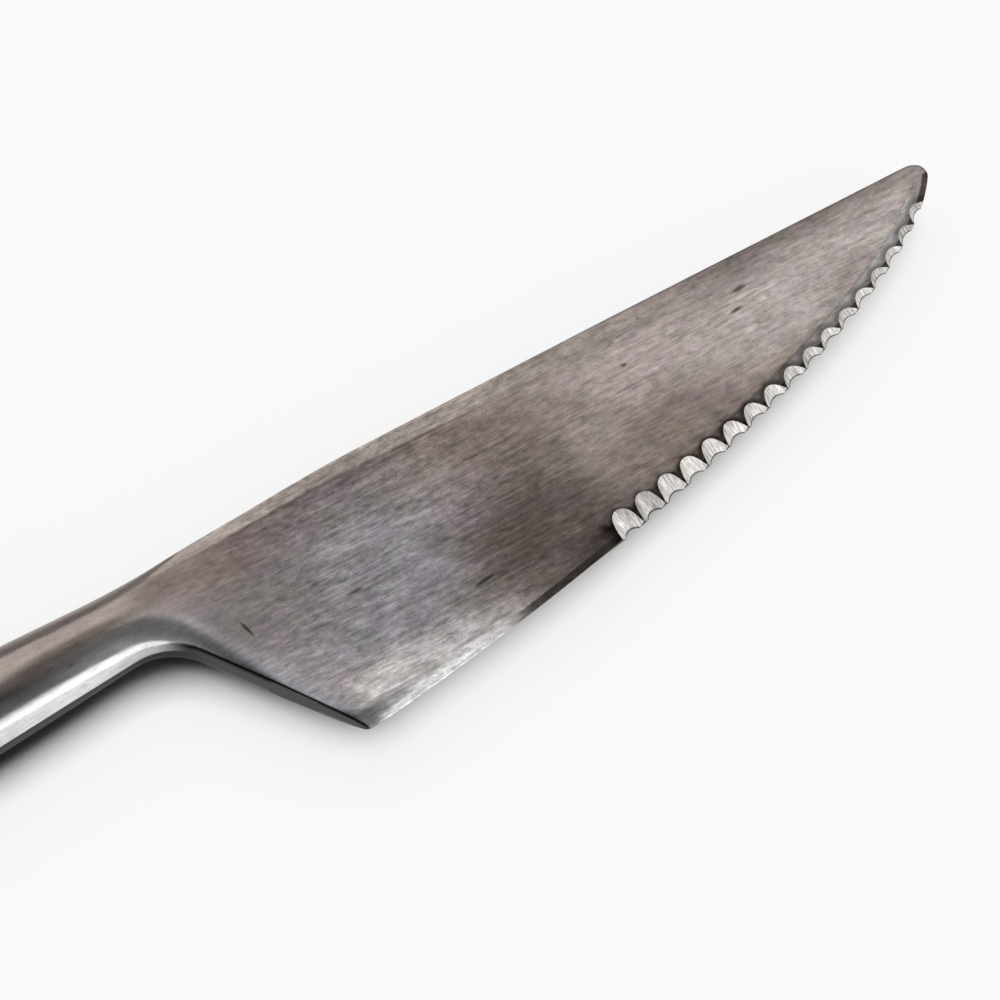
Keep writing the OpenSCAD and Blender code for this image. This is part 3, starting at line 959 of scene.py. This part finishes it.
handle = {
    "length": 86,
    "width": 20,
    "thickness": 12,
    "buttLength": 9,
    "buttTurn": math.radians(84),  # how far its round end turns in before the last ring
    "fall": 4,
    "wall": 0.8,
    "seam": 0.25,
    "restDepth": 0.35,
    "widest": 0.84,  # where it reaches its full width and thickness, as shares of its length
    "thickest": 0.6,
    "flankRun": 34,  # over which the painted highlight on the neck's flank runs out on the handle
    "points": 32,
    "bodyRings": 16,
    "buttRings": 8,
}


def handleSize(back):
    wideShare = ease(back / (handle["length"] * handle["widest"]))
    thickShare = ease(back / (handle["length"] * handle["thickest"]))
    return (
        mix(neck["width"], handle["width"], wideShare) / 2,
        mix(neck["thickness"], handle["thickness"], thickShare) / 2,
        neckCentre - handle["fall"] * ease(back / handle["length"]),
    )


def squared(value):
    return math.copysign(abs(value) ** (2 / neck["power"]), value)


wide, thick, centre = handleSize(0)
mouth = []
for i in range(handle["points"]):
    turn = math.tau * i / handle["points"]
    across = (centre + wide * squared(math.cos(turn)), thick * squared(math.sin(turn)))
    mouth.append(Vector((-neck["length"], *across)))
handleSkin, mesh, ring = startRing("handleSkin", mouth)
bodyLength = handle["length"] - handle["buttLength"]
places = [(bodyLength * i / handle["bodyRings"], 1) for i in range(1, handle["bodyRings"] + 1)]
for i in range(1, handle["buttRings"] + 1):
    turn = handle["buttTurn"] * i / handle["buttRings"]
    reach = handle["buttLength"] * math.sin(turn) / math.sin(handle["buttTurn"])
    places.append((bodyLength + reach, math.cos(turn)))
before = (0, wide, thick, centre)
for back, share in places:
    wide, thick, centre = handleSize(back)
    wide *= share
    thick *= share
    ring = nextRing(ring, (before[0] - back, centre - before[3], 0))
    bpy.ops.transform.resize(
        value=(1, wide / before[1], thick / before[2]),
        center_override=(-neck["length"] - back, centre, 0))
    bpy.ops.mesh.select_all(action="DESELECT")
    before = (back, wide, thick, centre)
closeRing(mesh, ring)
bpy.ops.mesh.select_all(action="SELECT")
bpy.ops.mesh.normals_make_consistent(inside=False)
bpy.ops.object.mode_set(mode="OBJECT")
addModifier(handleSkin, "SUBSURF", {"levels": 2, "render_levels": 2})


def slicedSkin(name, low, high):
    makeOnly(handleSkin)
    bpy.ops.object.duplicate()
    shell = bpy.context.object
    shell.name = name
    bpy.ops.object.mode_set(mode="EDIT")
    floorHeight = handle["restDepth"] - handle["thickness"] / 2
    for height, isTop, isFilled in ((floorHeight, False, True), (low, False, False), (high, True, False)):
        if height is None:
            continue
        bpy.ops.mesh.select_all(action="SELECT")
        bpy.ops.mesh.bisect(
            plane_co=(0, 0, height), plane_no=(0, 0, 1),
            clear_inner=not isTop, clear_outer=isTop, use_fill=isFilled)
        if isFilled:
            bpy.ops.mesh.mark_sharp()
    bpy.ops.object.mode_set(mode="OBJECT")
    addModifier(shell, "SOLIDIFY", {
        "thickness": handle["wall"], "offset": -1, "use_even_offset": True, "use_rim": True})
    return shell


def nearness(distance, fade):
    start, end = fade
    return ease((start - distance) / (start - end))


halfSeam = handle["seam"] / 2
frontShell = slicedSkin("frontHalfShell", halfSeam, None)
backShell = slicedSkin("backHalfShell", None, -halfSeam)
braze = slicedSkin("seamBraze", -halfSeam, halfSeam)
bpy.data.objects.remove(handleSkin)
for piece, material in ((frontShell, handleSteel), (backShell, handleSteel), (braze, brazeMetal)):
    piece.data.materials.append(material)
    # shares of the painted highlight on the flank and of the painted shade under it, running out along the
    # handle
    flankHighlights, underShades = [], []
    for vertex in piece.data.vertices:
        back = max(0, -neck["length"] - vertex.co.x)
        wide, _, centre = handleSize(back)
        lowGap = vertex.co.y - centre + wide
        underGap = max(vertex.co.z, lowGap / look["underReach"])
        runOut = 1 - ease(back / handle["flankRun"])
        flankHighlights.append(runOut * nearness(lowGap, look["flankFade"]))
        underShades.append(runOut * nearness(underGap, look["underFade"]))
    for name, values in (("flank", flankHighlights), ("underShade", underShades)):
        piece.data.attributes.new(name, "FLOAT", "POINT").data.foreach_set("value", values)
print("handle:", [len(piece.data.polygons) for piece in (frontShell, backShell, braze)], "faces")

# Every piece goes from millimetres round the heel's corner to the part's frame
dressed = {
    knife: ("blade", "blade_steel"),
    frontShell: ("handle_shell_front", "handle_steel"),
    backShell: ("handle_shell_back", "handle_steel"),
    braze: ("seam_braze", "silver_braze"),
}
for piece, (node, slot) in dressed.items():
    makeOnly(piece)
    piece.scale = (millimetre, millimetre, millimetre)
    piece.location = cornerPlace
    bpy.ops.object.transform_apply(location=True, rotation=True, scale=True)
    bpy.ops.object.shade_smooth_by_angle(angle=math.radians(28))
    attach(piece, "root")
    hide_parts(node)

# The floor, the light and the camera

studio = {
    "floorSize": 3,
    "floorColour": "#F4F4F3",
    "whiteShare": 0.8,  # how far the card shows plain white where nothing lies close over it
    "whiteRange": (0.45, 0.85),  # openness over which it comes to do so
    "contactReach": 0.007,
    "contactShadowTone": 0.04,  # how dark the card's colour is painted right under the knife, as a contact shadow
    "contactRange": (0.4, 0.7),  # openness over which that dark fades out
    "skyStops": ((0, 0.6), (0.3, 0.6), (0.6, 0.5), (0.85, 0.35), (1, 0.25)),
}
# Softboxes: where from, in metres from the middle of the knife, width and height,
# and brightness
softboxes = {
    "farSoftbox": ((0.1, 0.65, 0.75), (1.3, 0.75), 1.3),
    "nearSoftbox": ((-0.05, -0.93, 0.36), (1.2, 0.6), 1.2),
    "sideSoftbox": ((0.72, -0.32, 0.62), (0.6, 0.6), 1.5),
}
bpy.ops.object.select_all(action="DESELECT")
bpy.ops.mesh.primitive_plane_add(size=studio["floorSize"], location=(0, 0, 0))
floor = bpy.context.object
floor.name = "floor"
# Matt white card, which spreads the light evenly. It shows as plain white to the camera and in the steel,
# but for the shadow and for what lies close to the knife, where its colour is darkened by ambient occlusion
# as a painted contact shadow
card, tree = newMaterial("mattWhiteCard")
openness = addNode(
    tree, "ShaderNodeAmbientOcclusion", {"Distance": studio["contactReach"], "samples": 32})
# painted contact shadow: the card's colour darkens where the knife lies close over it
openTone = addNode(
    tree, "ShaderNodeMapRange",
    {
        "From Min": studio["contactRange"][0], "From Max": studio["contactRange"][1],
        "To Min": studio["contactShadowTone"],
    },
    {"Value": openness.outputs["AO"]})
cardHue = addNode(
    tree, "ShaderNodeMix",
    {"data_type": "RGBA", "blend_type": "MULTIPLY", 0: 1, 6: toLinear(studio["floorColour"])},
    {7: openTone.outputs[0]})
shader = addNode(tree, "ShaderNodeBsdfPrincipled", {"Roughness": 0.9}, {"Base Color": cardHue.outputs[2]})
white = addNode(tree, "ShaderNodeEmission", {"Strength": 1})
rays = addNode(tree, "ShaderNodeLightPath").outputs
seen = addNode(
    tree, "ShaderNodeMath", {"operation": "ADD"}, {0: rays["Is Camera Ray"], 1: rays["Is Glossy Ray"]})
anySeen = addNode(
    tree, "ShaderNodeMath", {"operation": "ADD", "use_clamp": True},
    {0: seen.outputs[0], 1: rays["Is Transmission Ray"]})
openShare = addNode(
    tree, "ShaderNodeMapRange",
    {
        "From Min": studio["whiteRange"][0], "From Max": studio["whiteRange"][1],
        "To Max": studio["whiteShare"],
    },
    {"Value": openness.outputs["AO"]})
whiteShare = addNode(
    tree, "ShaderNodeMath", {"operation": "MULTIPLY"}, {0: anySeen.outputs[0], 1: openShare.outputs[0]})
cardShader = addNode(
    tree, "ShaderNodeMixShader",
    links={0: whiteShare.outputs[0], 1: shader.outputs[0], 2: white.outputs[0]})
addNode(tree, "ShaderNodeOutputMaterial", links={"Surface": cardShader.outputs[0]})
floor.data.materials.append(card)
floor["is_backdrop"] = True

# A studio's walls and ceiling as the polished steel sees them, by height
world = bpy.data.worlds.new("studio")
bpy.context.scene.world = world
world.use_nodes = True
tree = world.node_tree
tree.nodes.clear()
skyWay = addNode(tree, "ShaderNodeTexCoord").outputs["Generated"]
skyHeight = addNode(tree, "ShaderNodeSeparateXYZ", links={0: skyWay}).outputs["Z"]
skyRamp = addNode(tree, "ShaderNodeValToRGB", links={"Fac": skyHeight})
stops = skyRamp.color_ramp.elements
for i, (height, level) in enumerate(studio["skyStops"]):
    stop = stops[i] if i < 2 else stops.new(height)
    stop.position = height
    stop.color = (level, level, level, 1)
sky = addNode(tree, "ShaderNodeBackground", {"Strength": 1}, {"Color": skyRamp.outputs[0]})
addNode(tree, "ShaderNodeOutputWorld", links={"Surface": sky.outputs[0]})

for name, (softboxPlace, sizes, brightness) in softboxes.items():
    bpy.ops.object.select_all(action="DESELECT")
    bpy.ops.object.light_add(type="AREA", location=softboxPlace)
    softbox = bpy.context.object
    softbox.name = name
    softbox.data.shape = "RECTANGLE"
    softbox.data.size, softbox.data.size_y = sizes
    softbox.data.energy = brightness * math.pi * sizes[0] * sizes[1]
    softbox.rotation_euler = (-Vector(softboxPlace)).to_track_quat("-Z", "Y").to_euler()
    softbox.visible_camera = False

viewpoint = {
    "place": Vector((-0.05862, -0.16454, 0.3434)),
    "aim": Vector((0.04313, 0.00181, 0.00565)),
    "lens": 124.34,
    "sensorWidth": 36,
    "clipStart": 0.01,
}
bpy.ops.object.camera_add(location=viewpoint["place"])
camera = bpy.context.object
sightLine = viewpoint["aim"] - viewpoint["place"]
camera.rotation_euler = sightLine.to_track_quat("-Z", "Y").to_euler()
camera.data.lens = viewpoint["lens"]
camera.data.sensor_width = viewpoint["sensorWidth"]
camera.data.clip_start = viewpoint["clipStart"]
bpy.context.scene.camera = camera
bpy.context.scene.view_settings.view_transform = "Standard"
print("studio:", len(softboxes), "softboxes and a camera")

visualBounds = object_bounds()
sizes = {
    "cad": [list(corner) for corner in cadBounds],
    "visual": [list(corner) for corner in visualBounds],
}
print("sizes:", sizes)
